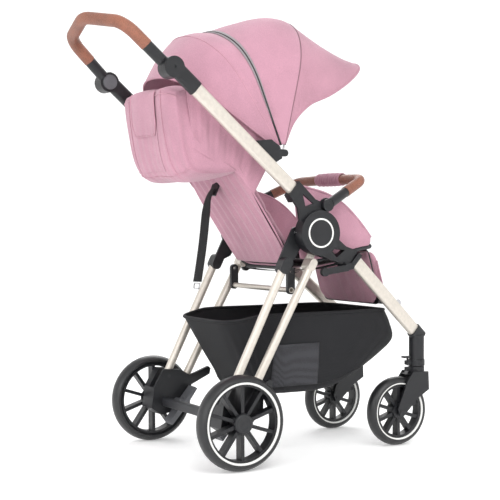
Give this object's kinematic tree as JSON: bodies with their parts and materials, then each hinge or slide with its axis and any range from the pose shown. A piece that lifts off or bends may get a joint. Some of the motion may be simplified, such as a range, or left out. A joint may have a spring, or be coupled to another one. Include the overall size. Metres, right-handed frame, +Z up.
{
  "type": "baby stroller",
  "caption": "Folding pushchair with an arched canopy, reclining seat, bumper bar, under-seat basket, adjustable handle and swivelling front wheels.",
  "frame": {"origin": "centre of the footprint on the ground, under the four wheels", "axes": "+Z up; the child faces -Y and the pusher stands at +Y; +X is on the child's left"},
  "size_m": [0.5574, 0.9627, 1.1659],
  "materials": {
    "champagne_tube": "satin",
    "black_plastic": "matte",
    "grey_plastic": "matte",
    "brown_leather": "grained",
    "pink_fabric": "woven",
    "dark_fabric": "woven",
    "black_webbing": "ribbed",
    "steel": "brushed",
    "tyre_rubber": "matte",
    "pale_trim": "gloss"
  },
  "bodies": {
    "chassis": {"hub_lowers": "black_plastic", "front_tubes": "champagne_tube", "front_elbows": "black_plastic", "front_cross_tube": "steel", "seat_frame": "steel", "seat_board": "black_plastic", "seat_cushion": "pink_fabric", "seat_sides": "pink_fabric", "basket": "dark_fabric", "latch_brackets": "black_plastic", "fold_pins": "steel", "harness_buckle": "black_plastic"},
    "upper_frame": {"hub_uppers": "black_plastic", "hub_rings": "pale_trim", "upper_tubes": "champagne_tube", "handle_sockets": "black_plastic", "canopy_brackets": "black_plastic", "canopy_bow_rear": "steel", "canopy_rear": "pink_fabric"},
    "handle": {"handle_tube": "steel", "handle_grip": "brown_leather", "handle_hinges": "black_plastic"},
    "handle_button_left": {"handle_button_left": "grey_plastic"},
    "handle_button_right": {"handle_button_right": "grey_plastic"},
    "canopy_front": {"canopy_front": "pink_fabric", "canopy_visor": "pink_fabric", "canopy_bow_front": "steel"},
    "backrest": {"backrest_board": "black_plastic", "backrest_cushion": "pink_fabric", "backrest_bag": "pink_fabric", "shoulder_straps": "black_webbing", "strap_buckle": "black_plastic", "recline_strap": "black_webbing", "strap_ring": "steel"},
    "rear_legs": {"leg_heads": "black_plastic", "leg_tubes": "champagne_tube"},
    "rear_links": {"link_tubes": "champagne_tube"},
    "release": {"release_bar": "champagne_tube", "release_plates": "black_plastic"},
    "rear_carriage": {"rear_brackets": "black_plastic", "rear_axle": "steel"},
    "brake_pedal_left": {"brake_pedal_left": "grey_plastic"},
    "brake_pedal_right": {"brake_pedal_right": "grey_plastic"},
    "rear_wheel_left": {"rear_tyre_left": "tyre_rubber", "rear_rim_left": "black_plastic"},
    "rear_wheel_right": {"rear_tyre_right": "tyre_rubber", "rear_rim_right": "black_plastic"},
    "front_fork_left": {"front_fork_left": "black_plastic"},
    "front_fork_right": {"front_fork_right": "black_plastic"},
    "swivel_lock_left": {"swivel_lock_left": "black_plastic"},
    "swivel_lock_right": {"swivel_lock_right": "black_plastic"},
    "front_wheel_left": {"front_tyre_left": "tyre_rubber", "front_rim_left": "black_plastic"},
    "front_wheel_right": {"front_tyre_right": "tyre_rubber", "front_rim_right": "black_plastic"},
    "bumper": {"bumper_arms": "black_plastic", "bumper_bar": "brown_leather", "bumper_wrap": "pink_fabric"},
    "leg_rest": {"leg_rest_board": "black_plastic", "leg_rest_pad": "pink_fabric"}
  },
  "joints": [
    {"name": "frame_fold", "type": "hinge", "parent": "chassis", "child": "upper_frame", "pos_m": [0, -0.099, 0.5884], "axis": [1, 0, 0], "range_deg": [0, 88], "deforming": ["canopy_rear", "canopy_bow_rear", "canopy_front", "canopy_visor", "canopy_bow_front"]},
    {"name": "rear_leg_fold", "type": "hinge", "parent": "chassis", "child": "rear_legs", "pos_m": [0, -0.048, 0.59], "axis": [1, 0, 0], "range_deg": [-41, 0.5]},
    {"name": "rear_link_fold", "type": "hinge", "parent": "chassis", "child": "rear_links", "pos_m": [0, -0.105, 0.538], "axis": [1, 0, 0], "range_deg": [-44, 0.5]},
    {"name": "rear_carriage_level", "type": "hinge", "parent": "rear_legs", "child": "rear_carriage", "pos_m": [0, 0.152, 0.19], "axis": [1, 0, 0], "range_deg": [-0.5, 41]},
    {"name": "bumper_fold", "type": "hinge", "parent": "upper_frame", "child": "bumper", "pos_m": [0, -0.122, 0.661], "axis": [1, 0, 0], "range_deg": [-78, 0.5]},
    {"name": "handle_tilt", "type": "hinge", "parent": "upper_frame", "child": "handle", "pos_m": [0, 0.3217, 0.9959], "axis": [1, 0, 0], "range_deg": [-80, 25]},
    {"name": "handle_button_left", "type": "slide", "parent": "handle", "child": "handle_button_left", "axis": [1, 0, 0], "range_m": [0, 0.003], "stiffness_N_per_m": 400},
    {"name": "handle_button_right", "type": "slide", "parent": "handle", "child": "handle_button_right", "axis": [-1, 0, 0], "range_m": [0, 0.003], "stiffness_N_per_m": 400},
    {"name": "canopy_adjust", "type": "hinge", "parent": "upper_frame", "child": "canopy_front", "pos_m": [0, -0.013, 0.796], "axis": [1, 0, 0], "range_deg": [-30, 0]},
    {"name": "backrest_recline", "type": "hinge", "parent": "upper_frame", "child": "backrest", "pos_m": [0, -0.064, 0.494], "axis": [1, 0, 0], "range_deg": [-35, 0]},
    {"name": "leg_rest_tilt", "type": "hinge", "parent": "chassis", "child": "leg_rest", "pos_m": [0, -0.3, 0.55], "axis": [1, 0, 0], "range_deg": [-65, 0]},
    {"name": "fold_release", "type": "hinge", "parent": "chassis", "child": "release", "pos_m": [0, -0.046, 0.486], "axis": [1, 0, 0], "range_deg": [0, 12], "stiffness_Nm_per_rad": 2},
    {"name": "brake_left", "type": "hinge", "parent": "rear_carriage", "child": "brake_pedal_left", "pos_m": [0, 0.131, 0.12], "axis": [1, 0, 0], "range_deg": [-10, 10]},
    {"name": "brake_right", "type": "hinge", "parent": "rear_carriage", "child": "brake_pedal_right", "pos_m": [0, 0.131, 0.12], "axis": [1, 0, 0], "range_deg": [-10, 10]},
    {"name": "rear_wheel_left", "type": "hinge", "parent": "rear_carriage", "child": "rear_wheel_left", "pos_m": [0.2567, 0.1644, 0.12], "axis": [1, 0, 0], "continuous": true},
    {"name": "rear_wheel_right", "type": "hinge", "parent": "rear_carriage", "child": "rear_wheel_right", "pos_m": [-0.2567, 0.1644, 0.12], "axis": [1, 0, 0], "continuous": true},
    {"name": "front_swivel_left", "type": "hinge", "parent": "chassis", "child": "front_fork_left", "pos_m": [0.1592, -0.454, 0.2], "axis": [0, 0, 1], "continuous": true},
    {"name": "front_swivel_right", "type": "hinge", "parent": "chassis", "child": "front_fork_right", "pos_m": [-0.1592, -0.454, 0.2], "axis": [0, 0, 1], "continuous": true},
    {"name": "front_wheel_left", "type": "hinge", "parent": "front_fork_left", "child": "front_wheel_left", "pos_m": [0.1592, -0.3843, 0.0945], "axis": [1, 0, 0], "continuous": true},
    {"name": "front_wheel_right", "type": "hinge", "parent": "front_fork_right", "child": "front_wheel_right", "pos_m": [-0.1592, -0.3843, 0.0945], "axis": [1, 0, 0], "continuous": true},
    {"name": "swivel_lock_left", "type": "slide", "parent": "chassis", "child": "swivel_lock_left", "axis": [0, 0, 1], "range_m": [-0.007, 0]},
    {"name": "swivel_lock_right", "type": "slide", "parent": "chassis", "child": "swivel_lock_right", "axis": [0, 0, 1], "range_m": [-0.007, 0]}
  ],
  "couplings": [
    {"joint": "rear_leg_fold", "follows": "frame_fold", "ratio": -0.4545},
    {"joint": "rear_link_fold", "follows": "frame_fold", "ratio": -0.4864},
    {"joint": "rear_carriage_level", "follows": "frame_fold", "ratio": 0.4545},
    {"joint": "bumper_fold", "follows": "frame_fold", "ratio": -0.87},
    {"joint": "brake_right", "follows": "brake_left", "ratio": 1}
  ]
}
